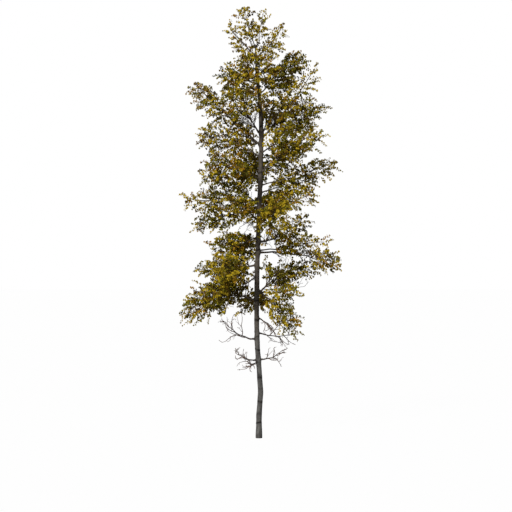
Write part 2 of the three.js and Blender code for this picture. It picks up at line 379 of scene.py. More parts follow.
def waves(points, scale, seed):
    """Smooth unevenness from about -1 to 1 at any points, with `scale` waves to the metre."""
    dice = np.random.default_rng(seed)
    total = 0
    for _ in range(WAVES):
        heading = unit(dice.normal(size=3)) * scale * dice.uniform(0.6, 1.6)
        total = total + np.sin(points @ heading * FULL_TURN + dice.uniform(0, FULL_TURN))
    return total / WAVE_HEIGHT


# %% [markdown]
# ## Helpers for materials
# A material is a net of nodes, and wiring it by hand takes many lines. Five small functions keep the
# materials readable: one makes an empty node group with named sockets, and the others mix two colours, make
# noise, cut a soft step out of a value and do a sum.

# %% Node helpers
def new_group(name, inputs, outputs):
    """An empty node group with float or colour sockets, and its input and output nodes."""
    group = bpy.data.node_groups.new(name, "ShaderNodeTree")
    for way, sockets in (("INPUT", inputs), ("OUTPUT", outputs)):
        for label, default in sockets.items():
            kind = "NodeSocketFloat" if isinstance(default, float) else "NodeSocketColor"
            socket = group.interface.new_socket(label, in_out=way, socket_type=kind)
            if way == "INPUT":
                socket.default_value = default
    return group, group.nodes.new("NodeGroupInput"), group.nodes.new("NodeGroupOutput")


def mixed(tree, first, second, amount, way="MIX"):
    """A colour mix. Each of the three may be a socket or a plain value."""
    node = tree.nodes.new("ShaderNodeMix")
    node.data_type = "RGBA"
    node.blend_type = way
    for socket, value in ((node.inputs[6], first), (node.inputs[7], second), (node.inputs[0], amount)):
        if isinstance(value, bpy.types.NodeSocket):
            tree.links.new(value, socket)
        else:
            socket.default_value = value
    return node.outputs[2]


def noise(tree, coordinates, scale, detail=4.0, stretch=(1, 1, 1)):
    """Noise from 0 to 1 on coordinates stretched by a factor for each axis."""
    mapping = tree.nodes.new("ShaderNodeMapping")
    mapping.inputs["Scale"].default_value = stretch
    node = tree.nodes.new("ShaderNodeTexNoise")
    node.inputs["Scale"].default_value = scale
    node.inputs["Detail"].default_value = detail
    tree.links.new(coordinates, mapping.inputs["Vector"])
    tree.links.new(mapping.outputs["Vector"], node.inputs["Vector"])
    return node.outputs["Fac"]


def stepped(tree, value, low, high):
    """0 below `low`, 1 above `high` and a smooth step between."""
    node = tree.nodes.new("ShaderNodeMapRange")
    node.interpolation_type = "SMOOTHSTEP"
    node.inputs["From Min"].default_value = low
    node.inputs["From Max"].default_value = high
    tree.links.new(value, node.inputs["Value"])
    return node.outputs["Result"]


def arithmetic(tree, operation, first, second):
    node = tree.nodes.new("ShaderNodeMath")
    node.operation = operation
    for socket, value in zip(node.inputs, (first, second)):
        if isinstance(value, bpy.types.NodeSocket):
            tree.links.new(value, socket)
        else:
            socket.default_value = value
    return node.outputs["Value"]


# %% [markdown]
# ## Bark
# Poplar bark is smooth and grey, with short dark dashes across it where it breathes, and dark bands and
# brows where twigs have been shed. The dashes, blotches, streaks and grain are the same idea on the trunk,
# the boughs and the dead wood, in different amounts, so they are one node group with named sockets. The dark
# scars have a place of their own, so they come from an attribute that the mesh carries in its points.

# %% Bark node group
BLOTCH_SCALE, BLOTCH_STRETCH = 5.0, (1, 1, 0.6)
DASH_SCALE, DASH_STRETCH = 9.0, (1, 1, 7.0)  # squeezed up the stem, so that each dash lies across it
STREAK_SCALE, STREAK_STRETCH = 30.0, (1, 1, 0.12)
GRAIN_SCALE = 160.0
BARK_ROUGHNESS, GRAIN_ROUGHNESS = 0.68, 0.25
STREAK_RELIEF, DASH_RELIEF = 0.7, 1.2  # against a relief of 1 for the grain

bark_group, bark_in, bark_out = new_group(
    "weathered_bark",
    {"Pale": (0.2, 0.2, 0.2, 1), "Dark": (0.1, 0.1, 0.1, 1), "Scar": (0.02, 0.02, 0.02, 1),
     "Dashes": 0.5, "Blotches": 0.5, "Scarring": 0.0},
    {"Colour": (0, 0, 0, 1), "Roughness": 0.0, "Height": 0.0},
)
place = bark_group.nodes.new("ShaderNodeTexCoord").outputs["Object"]
blotch = stepped(bark_group, noise(bark_group, place, BLOTCH_SCALE, 5.0, BLOTCH_STRETCH), 0.38, 0.62)
dash = stepped(bark_group, noise(bark_group, place, DASH_SCALE, 3.0, DASH_STRETCH), 0.60, 0.70)
dash = arithmetic(bark_group, "MULTIPLY", dash, bark_in.outputs["Dashes"])
streak = noise(bark_group, place, STREAK_SCALE, 5.0, STREAK_STRETCH)
grain = noise(bark_group, place, GRAIN_SCALE, 4.0)
blotch = arithmetic(bark_group, "MULTIPLY", blotch, bark_in.outputs["Blotches"])
blotched = mixed(bark_group, bark_in.outputs["Pale"], bark_in.outputs["Dark"], blotch)
streaked = mixed(bark_group, blotched, bark_in.outputs["Dark"], stepped(bark_group, streak, 0.5, 0.8))
dashed = mixed(bark_group, streaked, bark_in.outputs["Scar"], dash)
scarred = mixed(bark_group, dashed, bark_in.outputs["Scar"], bark_in.outputs["Scarring"])
bark_group.links.new(scarred, bark_out.inputs["Colour"])
rough = arithmetic(bark_group, "MULTIPLY", grain, GRAIN_ROUGHNESS)
rough = arithmetic(bark_group, "ADD", rough, BARK_ROUGHNESS)
bark_group.links.new(rough, bark_out.inputs["Roughness"])
height = arithmetic(bark_group, "ADD", arithmetic(bark_group, "MULTIPLY", streak, STREAK_RELIEF), grain)
height = arithmetic(bark_group, "SUBTRACT", height, arithmetic(bark_group, "MULTIPLY", dash, DASH_RELIEF))
bark_group.links.new(height, bark_out.inputs["Height"])
print("bark group:", len(bark_group.nodes), "nodes")

# %% [markdown]
# ## Six kinds of wood
# The old bark of the stem is grey, and higher up, where it is younger, it is browner. Boughs, twigs and this
# year's shoots are browner still. Dead wood has weathered, its thin twigs least of all. Each kind gets its
# own shader with the bark group in it. Only the trunk has scars and changes with height, so only there are
# the nodes for that added. Bark hardly shines, so its specular level is low.

# %% Wood materials
YOUNG_FROM, YOUNG_ABOVE = 2.4, 4.6  # heights between which grey bark turns to young, browner bark
YOUNG_STAIN = (0.88, 0.76, 0.66, 1)
BARK_SHEEN = 0.12
BUMP_STRENGTH = 0.6


def wood_material(name, pale, dark, scar_colour, dashes, blotches, bump, scarred_by=None):
    """A wood finish from the bark group, with `bump` the depth of its relief in metres.

    `scarred_by` is for the trunk: the mesh attribute that says where scars are. Its bark is also stained
    brown with height.
    """
    material = bpy.data.materials.new(name)
    material.use_nodes = True
    tree = material.node_tree
    shader = tree.nodes["Principled BSDF"]
    shader.inputs["Specular IOR Level"].default_value = BARK_SHEEN
    group = tree.nodes.new("ShaderNodeGroup")
    group.node_tree = bark_group
    for label, colour in (("Pale", pale), ("Dark", dark), ("Scar", scar_colour)):
        group.inputs[label].default_value = (*colour, 1)
    group.inputs["Dashes"].default_value = dashes
    group.inputs["Blotches"].default_value = blotches
    colour = group.outputs["Colour"]
    if scarred_by:
        attribute = tree.nodes.new("ShaderNodeAttribute")
        attribute.attribute_name = scarred_by
        tree.links.new(attribute.outputs["Fac"], group.inputs["Scarring"])
        place = tree.nodes.new("ShaderNodeSeparateXYZ")
        tree.links.new(tree.nodes.new("ShaderNodeTexCoord").outputs["Object"], place.inputs["Vector"])
        young = stepped(tree, place.outputs["Z"], YOUNG_FROM, YOUNG_ABOVE)
        colour = mixed(tree, colour, YOUNG_STAIN, young, "MULTIPLY")
    bumps = tree.nodes.new("ShaderNodeBump")
    bumps.inputs["Strength"].default_value = BUMP_STRENGTH
    bumps.inputs["Distance"].default_value = bump
    tree.links.new(group.outputs["Height"], bumps.inputs["Height"])
    tree.links.new(colour, shader.inputs["Base Color"])
    tree.links.new(group.outputs["Roughness"], shader.inputs["Roughness"])
    tree.links.new(bumps.outputs["Normal"], shader.inputs["Normal"])
    return material


bough_bark = wood_material(
    "bough_bark", (0.098, 0.078, 0.062), (0.048, 0.037, 0.030), (0.015, 0.012, 0.010), 0.5, 0.8, 0.002,
)
twig_bark = wood_material(
    "twig_bark", (0.074, 0.047, 0.020), (0.040, 0.025, 0.010), (0.016, 0.011, 0.006), 0.2, 0.7, 0.0006,
)
shoot_bark = wood_material(
    "shoot_bark", (0.100, 0.062, 0.020), (0.054, 0.034, 0.012), (0.020, 0.013, 0.006), 0.1, 0.6, 0.0003,
)
dead_wood = wood_material(
    "dead_wood", (0.078, 0.064, 0.058), (0.042, 0.033, 0.030), (0.016, 0.012, 0.011), 0.15, 0.9, 0.0015,
)
dead_twig_wood = wood_material(
    "dead_twig_wood", (0.150, 0.096, 0.070), (0.070, 0.045, 0.034), (0.030, 0.020, 0.016), 0.1, 0.7, 0.0006,
)

# %% [markdown]
# ## Where each limb leaves the trunk
# The solids are named for what they are: live boughs, dead boughs and foliage. A limb's path is the line of
# the middles of cuts through it. It is carried on to the middle of the stem, so that the limb grows out of
# the wood and isn't just stuck to the bark.

# %% Where each limb leaves the trunk
live_boughs = sorted(name for name in frame["nodes"] if name.startswith("bough_"))
dead_boughs = sorted(name for name in frame["nodes"] if name.startswith("dead_bough_"))
foliage = sorted(name for name in frame["nodes"] if name.startswith("foliage_"))


def nearest_on_trunk(points):
    """The height on the trunk nearest to a set of points."""
    middles, _ = trunk_at(trunk_heights)
    gaps = np.linalg.norm(middles[:, None] - points[None], axis=-1)
    return trunk_heights[np.unravel_index(gaps.argmin(), gaps.shape)[0]]


LIMB_CUTS = np.linspace(0.06, 0.97, 14)
limb_lines = {}
for name in live_boughs + dead_boughs:
    solid = solid_of(name)
    foot, _ = trunk_at(nearest_on_trunk(solid[0]))
    middles, radii = middle_line(solid, foot, LIMB_CUTS)
    limb_lines[name] = (np.vstack([foot, middles]), np.concatenate([radii[:1], radii]))
print("limbs with a solid of their own:", len(limb_lines))

# %% [markdown]
# ## Where the foliage hangs from
# Each mass of foliage belongs to one bough, and its spine is the line of the middles of its cuts. Where the
# frame has the bare part of that bough, the two join up. Where it doesn't, the spine is carried on inwards
# and down until it meets the trunk, which is where such a short bough must grow.

# %% Spines of the masses
SPINE_CUTS = np.array([0.1, 0.28, 0.46, 0.64, 0.8, 0.92])
SHORT_BOUGH_RADIUS = 0.021
THICKEST_SHARE = 0.8  # a short bough is no thicker than this share of the trunk beside it
SHORT_BOUGH_SLOPES = (-0.6, 1.6)  # the flattest and steepest way it may leave the trunk
SHORT_BOUGH_ARCH = 0.04  # how far its middle is raised, as a share of its reach
LOWEST_ROOT = 0.5
ROOT_BELOW_TOP = 0.15
SPINE_TIP = 0.005
SPINE_TAPER = 0.5


def length_along(path):
    """The length of a path up to each of its points."""
    return np.concatenate([[0], np.cumsum(np.linalg.norm(np.diff(path, axis=0), axis=1))])


def spine_of(name):
    """The bough that carries a mass: its path from the trunk, its radii, and where its foliage starts."""
    solid = solid_of(name)
    own = "bough_" + name[len("foliage_"):]
    if own in limb_lines:
        bare, bare_radii = limb_lines[own]
        spine, _ = middle_line(solid, bare[-1], SPINE_CUTS)
        spine = spine[1:]
        entry = bare_radii[-1]
    else:
        foot, _ = trunk_at(nearest_on_trunk(solid[0]))
        spine, _ = middle_line(solid, foot, SPINE_CUTS)
        inner = spine[0]
        heading = unit(spine[1] - inner)
        gap = np.linalg.norm(inner[:2] - foot[:2])
        slope = np.clip(heading[2] / max(np.linalg.norm(heading[:2]), 0.2), *SHORT_BOUGH_SLOPES)
        root, _ = trunk_at(np.clip(inner[2] - gap * slope, LOWEST_ROOT, trunk_top - ROOT_BELOW_TOP))
        bare = np.vstack([root, root + (inner - root) * 0.5 + [0, 0, SHORT_BOUGH_ARCH * gap]])
        entry = min(SHORT_BOUGH_RADIUS, THICKEST_SHARE * trunk_at(root[2])[1])
        bare_radii = np.full(len(bare), entry)
    path = np.vstack([bare, spine])
    along = length_along(path)
    start = along[len(bare) - 1]
    thin = (along[len(bare):] - start) / (along[-1] - start)
    radii = np.concatenate([bare_radii, SPINE_TIP + (entry - SPINE_TIP) * (1 - thin) ** SPINE_TAPER])
    return {"path": path, "radii": radii, "leafy_from": len(bare) - 1, "solid": solid}


spines = {name: spine_of(name) for name in foliage}
print("masses of foliage:", len(spines))

# %% [markdown]
# ## The trunk
# The frame's trunk has the right line and thickness, but only twelve flat sides. A poplar's stem is a little
# out of round, swells into a collar under each bough, and wears a wrinkled dark band wherever a whorl of
# twigs was shed. Sculpting this by hand would be slow. All of it is a change of radius over height and
# angle, so the trunk is one fine tube whose relief is a sum of such changes. The first ones make it uneven
# all over.

# %% The trunk's rings
TRUNK_SIDES = 72
TRUNK_RING = 0.021
LEADER_TIP = 0.006
LEADER_RINGS = 12  # over which the stem thins to its tip
OUT_OF_ROUND = 0.0045
RIPPLE = 0.0022

ring_heights = np.concatenate([np.arange(0, trunk_top, TRUNK_RING), [trunk_top]])
ring_middles, ring_radii = trunk_at(ring_heights)
ring_radii[-LEADER_RINGS:] = np.linspace(ring_radii[-LEADER_RINGS], LEADER_TIP, LEADER_RINGS)
turn = np.arange(TRUNK_SIDES) * FULL_TURN / TRUNK_SIDES
around_stem = np.stack([np.cos(turn), np.sin(turn), np.zeros(TRUNK_SIDES)], -1)
surface = ring_middles[:, None] + around_stem * ring_radii[:, None, None]
level = surface[..., 2]
girth = ring_radii[:, None] / ring_radii.max()
swell = girth * (OUT_OF_ROUND * waves(surface, 1.1, 1) + RIPPLE * waves(surface * [1, 1, 0.4], 9.0, 2))
scars = np.zeros(swell.shape)
print("trunk rings:", len(ring_heights))

# %% [markdown]
# ## Scar bands
# Each spring's growth ended in a whorl of twigs, and where they were shed a dark, wrinkled band goes round
# the stem. A band is a bell curve over height. It is tilted and wavy, so that it never looks like a painted
# hoop. The same curve swells the stem, and a narrower one cuts a groove just above.

# %% Scar bands
SCAR_BANDS = {  # height of each band, and how dark it is
    0.49: 1.0, 0.80: 0.3, 1.19: 0.6, 1.40: 0.25, 1.99: 0.8, 2.37: 0.5, 2.88: 1.0, 3.30: 0.4, 3.85: 0.9,
    4.45: 0.8, 5.05: 0.5, 6.10: 0.9, 6.90: 0.6, 7.75: 0.6, 8.60: 0.7, 9.30: 0.5, 10.10: 0.6,
}
BAND_HEIGHT = 0.030
BAND_SWELL = 0.007
BAND_WAVE = 0.006
BAND_TILT_RADIUS = 0.09
BAND_STRENGTH, BAND_BLOTCHES = 1.6, 0.2
GROOVE_DEPTH, GROOVE_HEIGHT, GROOVE_ABOVE = 0.006, 0.006, 0.012


def bell(distance, width):
    """1 at no distance, falling smoothly to nothing over about twice the width."""
    return np.exp(-((distance / width) ** 2))


dice = np.random.default_rng(5)
for band, darkness in SCAR_BANDS.items():
    tilt = dice.uniform(0.1, 0.3) * BAND_TILT_RADIUS
    facing = dice.uniform(0, FULL_TURN)
    line = band + tilt * np.cos(turn - facing) + BAND_WAVE * np.sin(3 * turn + facing)
    strength_round = darkness * (0.8 + 0.2 * np.sin(turn * dice.integers(1, 3) + facing))
    near = bell(level - line, BAND_HEIGHT)
    swell += girth * BAND_SWELL * near * strength_round
    swell -= girth * GROOVE_DEPTH * bell(level - line - GROOVE_ABOVE, GROOVE_HEIGHT)
    blotchy = strength_round + BAND_BLOTCHES * waves(surface, 14, 3)
    scars = np.maximum(scars, np.clip(BAND_STRENGTH * near * blotchy, 0, 1))
print("scar bands:", len(SCAR_BANDS))

# %% [markdown]
# ## Eyes
# A single shed twig leaves a round scar with a dark rim, like an eye with its brow upside down. The rim is a
# bell curve over the distance from the middle. Each eye is turned from the last by the golden angle, as the
# twigs of a young stem are.

# %% Eyes
EYES = (1.62, 2.20, 3.45, 4.15, 5.60, 7.30, 8.20)  # heights of the eyes
EYE_SIZE = 0.042
EYE_RIM = 0.010
EYE_SWELL = 0.006
FIRST_EYE = math.radians(-85)
GOLDEN_ANGLE = math.radians(137.5)


def round_stem(facing, radius):
    """How far each side of the trunk is, round the bark, from the side that faces a given way."""
    return np.angle(np.exp(1j * (turn - facing))) * radius


for number, eye in enumerate(EYES):
    _, radius = trunk_at(eye)
    away = np.hypot(round_stem(FIRST_EYE + GOLDEN_ANGLE * number, radius), 1.25 * (level - eye))
    lower_half = np.clip(0.6 - (level - eye) / EYE_SIZE, 0.25, 1)
    swell += EYE_SWELL * bell(away, EYE_SIZE)
    scars = np.maximum(scars, bell(away - EYE_SIZE, EYE_RIM) * lower_half)
print("eyes:", len(EYES))

# %% [markdown]
# ## Collars and brows
# Where a bough leaves the stem the wood swells into a collar, and the bark above the fork is pinched into a
# dark brow that slants down on both sides. Thin boughs have smaller collars. Both are measured from the
# point where the bough's own path comes through the bark.

# %% Collars and brows
COLLAR_REACH = 0.075
COLLAR_SWELL = 0.016
THICK_LIMB = 0.027  # a limb of this radius or more has a full collar
COLLAR_DROP, COLLAR_RISE = -0.05, 0.12  # how far from its root a limb may come through the bark
COLLAR_DARKNESS, BROW_DARKNESS = 0.6, 0.85
BROW_HEIGHT = 0.014
BROW_BELOW = 0.02

limbs_on_trunk = list(limb_lines.values()) + [(spine["path"], spine["radii"]) for spine in spines.values()]
for line, radii in limbs_on_trunk:
    heading = line[1] - line[0]
    middle, radius = trunk_at(line[0][2])
    rise = heading[2] / max(np.linalg.norm(heading[:2]), 0.05) * radius
    around = round_stem(math.atan2(heading[1], heading[0]), radius)[None]
    above = level - (middle[2] + np.clip(rise, COLLAR_DROP, COLLAR_RISE))
    away = np.hypot(around, above)
    reach = COLLAR_REACH * (0.6 + 0.5 * radii[0] / THICK_LIMB)
    swell += COLLAR_SWELL * bell(away, reach) * np.minimum(radii[0] / THICK_LIMB, 1)
    brow = above + BROW_BELOW - reach * (0.9 - 1.3 * np.abs(around) / reach)
    scars = np.maximum(scars, BROW_DARKNESS * bell(brow, BROW_HEIGHT) * bell(around, reach * 1.3))
    scars = np.maximum(scars, COLLAR_DARKNESS * bell(away, reach * 0.6))
print("collars:", len(limbs_on_trunk))

# %% [markdown]
# ## Old bark at the foot
# Only the lowest metre or so is old enough to crack. The cracks are waves stretched up the stem, of which we
# keep the crests and let them fade with height. With that the relief is complete, and the mesh can be made.
# Its points also carry how scarred they are, for the bark to read.

# %% Trunk mesh
CRACK_DEPTH = 0.006
CRACK_DARKNESS = 0.55
CRACK_FADE = 1.1
SCAR_ATTRIBUTE = "scar"

cracks = np.clip(waves(surface * [1, 1, 0.25], 22, 4), 0, 1) * np.exp(-level / CRACK_FADE)
swell -= CRACK_DEPTH * cracks
scars = np.maximum(scars, CRACK_DARKNESS * cracks)

trunk_bark = wood_material(
    "trunk_bark", (0.119, 0.119, 0.115), (0.057, 0.055, 0.054), (0.012, 0.011, 0.010),
    0.75, 0.8, 0.004, SCAR_ATTRIBUTE,
)
_, faces = tube(ring_middles, ring_radii, TRUNK_SIDES)
points = ring_middles[:, None] + around_stem * (ring_radii[:, None] + swell)[..., None]
trunk = add_piece("trunk_bark", points.reshape(-1, 3), faces, trunk_bark, "bark")
scar_layer = trunk.data.attributes.new(SCAR_ATTRIBUTE, "FLOAT", "POINT")
scar_layer.data.foreach_set("value", scars.ravel().astype(np.float32))
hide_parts("trunk")

# %% [markdown]
# ## Boughs
# A bough starts inside the trunk and swells where it leaves it, then thins and wanders a little. Its path
# comes from its solid and from the spine of its foliage. A curve with a round bevel would give an even pipe.
# Our own tube takes a relief, the same kind of sum as the trunk's, only finer.

# %% Bough meshes
BOUGH_SIDES = 10
BOUGH_RING = 0.03
WANDER = 0.012
FREE_FROM_FOOT, FREE_FROM_TIP = 0.3, 0.2  # lengths over which the wandering dies away at both ends
FOOT_SWELL, FOOT_FROM, FOOT_FADE = 0.55, 0.08, 0.05
COARSE_RELIEF, FINE_RELIEF = 0.10, 0.07
SIDE_STEP = 0.013  # how far apart neighbouring sides read the waves


def bough_tube(path, radii, sides, ring, seed, wander=WANDER):
    """A limb with a swollen foot, slight kinks and bark relief."""
    length = length_along(path)
    line = smooth_path(path, ring)
    along = length_along(line)
    girth = np.interp(along / along[-1], length / length[-1], radii)
    fade = np.clip(along / FREE_FROM_FOOT, 0, 1) * np.clip((along[-1] - along) / FREE_FROM_TIP, 0, 1)
    for axis in range(3):
        line[:, axis] += fade * wander * waves(line, 2.2, seed * 3 + axis)
    girth = girth * (1 + FOOT_SWELL * np.exp(-np.maximum(along - FOOT_FROM, 0) / FOOT_FADE))
    bark = np.repeat(line[:, None], sides, 1) + np.arange(sides)[None, :, None] * SIDE_STEP
    relief = COARSE_RELIEF * waves(bark, 7, seed) + FINE_RELIEF * waves(bark, 21, seed + 1)
    return tube(line, girth, sides, girth[:, None] * relief)


boughs = Bundle()
for number, spine in enumerate(spines.values()):
    boughs.add(*bough_tube(spine["path"], spine["radii"], BOUGH_SIDES, BOUGH_RING, number + 10))
bough_piece = add_piece("boughs_bark", *boughs.joined(), bough_bark, "bark")
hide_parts(*live_boughs)

# %% [markdown]
# ## Dead boughs
# Under the crown the shaded boughs have died and lost their leaves, but keep their crooked twigs. A twig
# leaves its parent at a wide angle, kinks every hand's breadth, and carries smaller twigs of its own. They
# could be drawn one by one, but one rule that calls itself makes all of them, from a seed for each bough.
# The limbs and their paler twigs are two pieces, because each has its own finish.

# %% Crooked bare twigs
JOINTS = 6
KINK = 0.25
TURN_UP = 0.0375
FINEST_TWIG = 0.0052
TWIG_LEVELS = 3
FORWARDS, FORWARDS_LOSS = 1.15, 0.2  # how much a twig keeps to its parent's way, less towards the tip
CLIMB_RANGE = 0.3
REACH_RANGE = (0.6, 1.0)
REACH_AT_FOOT, REACH_LOSS = 1.2, 0.7
SIDE_TWIG, TIP_TWIG = 0.75, 0.9  # how thick they are against their parent
TWIG_TAPER = 0.4
NEXT_REACH = 0.55  # how long a twig's own twigs are against it


def crooked(start, heading, length, dice):
    """A path that kinks at each joint and turns slowly up."""
    line, step = [start], length / JOINTS
    for _ in range(JOINTS):
        heading = unit(heading + dice.normal(0, KINK, 3) + [0, 0, TURN_UP])
        line.append(line[-1] + heading * step)
    return np.array(line)


def bare_twigs(bundle, line, radius, length, count, dice, spread, lift, levels=TWIG_LEVELS):
    """Twigs all along a limb and one at its tip, with twigs of their own while `levels` last.

    Returns the last two points of each of the finest twigs.
    """
    ends = []
    for number in range(count):
        share = (number + dice.uniform(0.2, 1.0)) / count if number < count - 1 else 1.0
        place = share * (len(line) - 1)
        low = min(int(place), len(line) - 2)
        start = line[low] + (line[low + 1] - line[low]) * (place - low)
        along = unit(line[low + 1] - line[low])
        sideways = unit(np.cross(along, dice.normal(size=3)))
        climb = [0, 0, lift + dice.uniform(-CLIMB_RANGE, CLIMB_RANGE)]
        heading = unit(along * (FORWARDS - share * FORWARDS_LOSS) + sideways * spread + climb)
        reach = length * dice.uniform(*REACH_RANGE) * (REACH_AT_FOOT - REACH_LOSS * share)
        twig = crooked(start, heading, reach, dice)
        thick = radius * (SIDE_TWIG if share < 1 else TIP_TWIG)
        radii = np.linspace(thick, max(thick * TWIG_TAPER, FINEST_TWIG), len(twig))
        bundle.add(*tube(twig, radii, 4 if levels > 1 else 3))
        if levels > 1:
            few, short = max(2, count // 2), reach * NEXT_REACH
            ends += bare_twigs(bundle, twig, radii[3], short, few, dice, spread, lift, levels - 1)
        else:
            ends.append(twig[-2:])
    return ends


# %% Dead boughs and their twigs
DEAD_TWIGS = 7
DEAD_TWIG_RADIUS = 0.020
DEAD_TWIG_REACH = 0.62  # as a share of the bough's own reach
DEAD_SIDES = 9
DEAD_WANDER = 0.02

dead = Bundle()
dead_twigs = Bundle()
for number, name in enumerate(dead_boughs):
    line, radii = limb_lines[name]
    dice = np.random.default_rng(40 + number)
    dead.add(*bough_tube(line, radii, DEAD_SIDES, BOUGH_RING, 60 + number, DEAD_WANDER))
    reach = DEAD_TWIG_REACH * np.linalg.norm(line[-1] - line[0])
    bare_twigs(dead_twigs, line[2:], DEAD_TWIG_RADIUS, reach, DEAD_TWIGS, dice, spread=1.0, lift=0.0)
for name, bundle, finish in (("dead_boughs", dead, dead_wood), ("dead_twigs", dead_twigs, dead_twig_wood)):
    piece = add_piece(name, *bundle.joined(), finish, "dead_wood")
    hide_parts(*dead_boughs)

# %% [markdown]
# ## Shaded twigs
# The bare part of each live bough stands in the crown's own shade. It keeps crooked twigs too, longest on
# the lowest boughs, and they reach up for the light that they hardly get. Low in the crown, half of them
# still end in a spray of leaves. The same rule makes them. They are live wood, so they join the twigs that
# come next.

# %% Shaded twigs inside the crown
def from_line(line, points):
    """The way from the nearest point of a line to each of some points."""
    gaps = points[:, None] - line[None]
    nearest = np.linalg.norm(gaps, axis=2).argmin(1)
    return gaps[np.arange(len(points)), nearest]


SHADED_TWIGS = 11
SHADED_TWIG_RADIUS = 0.018
SHADED_TWIG_REACH = 0.75
LOWEST_TWIG_REACH = 1.35
LOWEST_BOUGHS = 5.2  # boughs that leave the trunk below this height have the longer twigs
SHADED_LEAFY = 0.5  # share of these twigs that still end in a spray
SHADED_LEAFY_BELOW = 5.8
# this depth counts towards the shade that deals these sprays darker tints, which are partly painted shade
SHADED_DEPTH = 0.6  # how deep in their mass these sprays count as being

twigs = Bundle()
sprays = {"base": [], "heading": [], "away": [], "depth": [], "mass": []}
for number, name in enumerate(live_boughs):
    line, _ = limb_lines[name]
    dice = np.random.default_rng(90 + number)
    reach = LOWEST_TWIG_REACH if line[0][2] < LOWEST_BOUGHS else SHADED_TWIG_REACH
    ends = bare_twigs(twigs, line[3:], SHADED_TWIG_RADIUS, reach, SHADED_TWIGS, dice, spread=1.2, lift=0.25)
    ends = np.array(ends)[dice.random(len(ends)) < SHADED_LEAFY * (line[0][2] < SHADED_LEAFY_BELOW)]
    if len(ends):
        sprays["base"].append(ends[:, 1])
        sprays["heading"].append(unit(ends[:, 1] - ends[:, 0]))
        sprays["away"].append(unit(from_line(line, ends[:, 1])))
        sprays["depth"].append(np.full(len(ends), SHADED_DEPTH))
        sprays["mass"].append(np.full(len(ends), foliage.index("foliage_" + name[len("bough_"):])))
print("leafy ends of shaded twigs:", sum(len(each) for each in sprays["base"]))

# %% [markdown]
# ## Where the sprays hang
# Inside each mass we scatter points where a spray of leaves will hang. Plain chance would leave some in
# heaps, so a point is only kept if it is a hand's length from the rest. Waves leave whole patches out, and
# there the sky shows through. At the top, where the light is best, the sprays stand a little closer.

# %% Where the sprays hang
SPRAY_SPACING = 0.125
SKIN = 0.74  # sprays keep to this share of the way from the spine to the skin, as their leaves reach on
PATCHINESS = 0.70  # the nearer to 0, the more patches are left out
PATCHES = 1.6  # to the metre
TRIES = 4  # points thrown for each place there is
TOP_ABOVE = 11.9  # masses whose middle is above this height get the most light
TOP_SPACING = 0.116


def scatter_sprays(solid, core, dice):
    """Points inside a mass, kept apart, with open patches between them."""
    low, high = solid[0].min(0), solid[0].max(0)
    spacing = TOP_SPACING if (low[2] + high[2]) / 2 > TOP_ABOVE else SPRAY_SPACING
    thrown = int(np.prod(high - low) / spacing**3 * TRIES)
    points = dice.uniform(low, high, (thrown, 3))
    points = points[inside(solid, points + (1 / SKIN - 1) * from_line(core, points))]
    points = points[waves(points, PATCHES, 77) > -PATCHINESS]
    kept = np.empty((0, 3))
    for point in points:
        if len(kept) == 0 or ((kept - point) ** 2).sum(1).min() > spacing**2:
            kept = np.vstack([kept, point])
    return kept


# %% [markdown]
# ## Twigs that find their leaves
# Now the wood grows to the sprays. Again and again the point that is cheapest to reach is joined to the
# wood. A sharp turn costs more, and so does a long way back to the trunk. That gives forks like a real
# bough's, which lead to the light, without drawing a single one by hand.

# %% Growing the wood
TURN_COST = 0.9
DISTANCE_COST = 0.16
SPINE_STEP = 0.12
KEPT_HEADING = 0.35  # how much of its parent's heading a twig keeps


def grow(spine, targets):
    """Joins every target to the wood.

    Returns the points, the parent of each, the way each one heads, and the order in which they were joined.
    """
    count = len(spine) + len(targets)
    points = np.vstack([spine, targets])
    parents = np.arange(-1, count - 1)
    headings = np.zeros((count, 3))
    headings[: len(spine)] = unit(np.gradient(spine, axis=0))
    travelled = np.zeros(count)
    travelled[: len(spine)] = np.arange(len(spine)) * SPINE_STEP
    cheapest = np.full(count, np.inf)
    source = np.zeros(count, int)
    order = []

    def reach_from(node):
        gap = points[len(spine):] - points[node]
        distance = np.linalg.norm(gap, axis=1)
        turning = 1 - (gap @ headings[node]) / np.maximum(distance, 1e-6)
        cost = distance * (1 + TURN_COST * turning) + DISTANCE_COST * travelled[node]
        better = cost < cheapest[len(spine):]
        cheapest[len(spine):][better] = cost[better]
        source[len(spine):][better] = node

    for node in range(len(spine)):
        reach_from(node)
    joined = np.zeros(count, bool)
    joined[: len(spine)] = True
    for _ in range(len(targets)):
        node = int(np.where(joined, np.inf, cheapest).argmin())
        parent = source[node]
        joined[node] = True
        order.append(node)
        parents[node] = parent
        step = points[node] - points[parent]
        headings[node] = unit(unit(step) + KEPT_HEADING * headings[parent])
        travelled[node] = travelled[parent] + np.linalg.norm(step)
        reach_from(node)
    return points, parents, headings, order


# %% [markdown]
# ## How thick each twig is
# A twig is as thick as what it feeds: its radius, to a power a little over two, is the sum of its branches'.
# The grown points are then split into runs. Each run follows the heaviest branch at every fork to its tip,
# so that forks look like one limb with a side twig and not like a lot of short pipes.

# %% Twigs from the grown points
TWIG_TIP = 0.0029
PIPE_POWER = 2.2
TWIG_STEP = 0.09
ROUND_TWIG = 0.006  # twigs thicker than this have five sides, thinner ones three


def load_on(parents, order):
    """How many points each point feeds, itself included."""
    load = np.ones(len(parents))
    for node in reversed(order):
        load[parents[node]] += load[node]
    return load


def runs(parents, order, load):
    """The grown points as runs, each from a fork to a tip along the heaviest branches."""
    children = {}
    for node in order:
        children.setdefault(parents[node], []).append(node)
    done = set()
    for node in order:
        if node in done:
            continue
        run = [parents[node], node]
        while run[-1] in children:
            run.append(max(children[run[-1]], key=lambda child: load[child]))
        done.update(run[1:])
        yield run


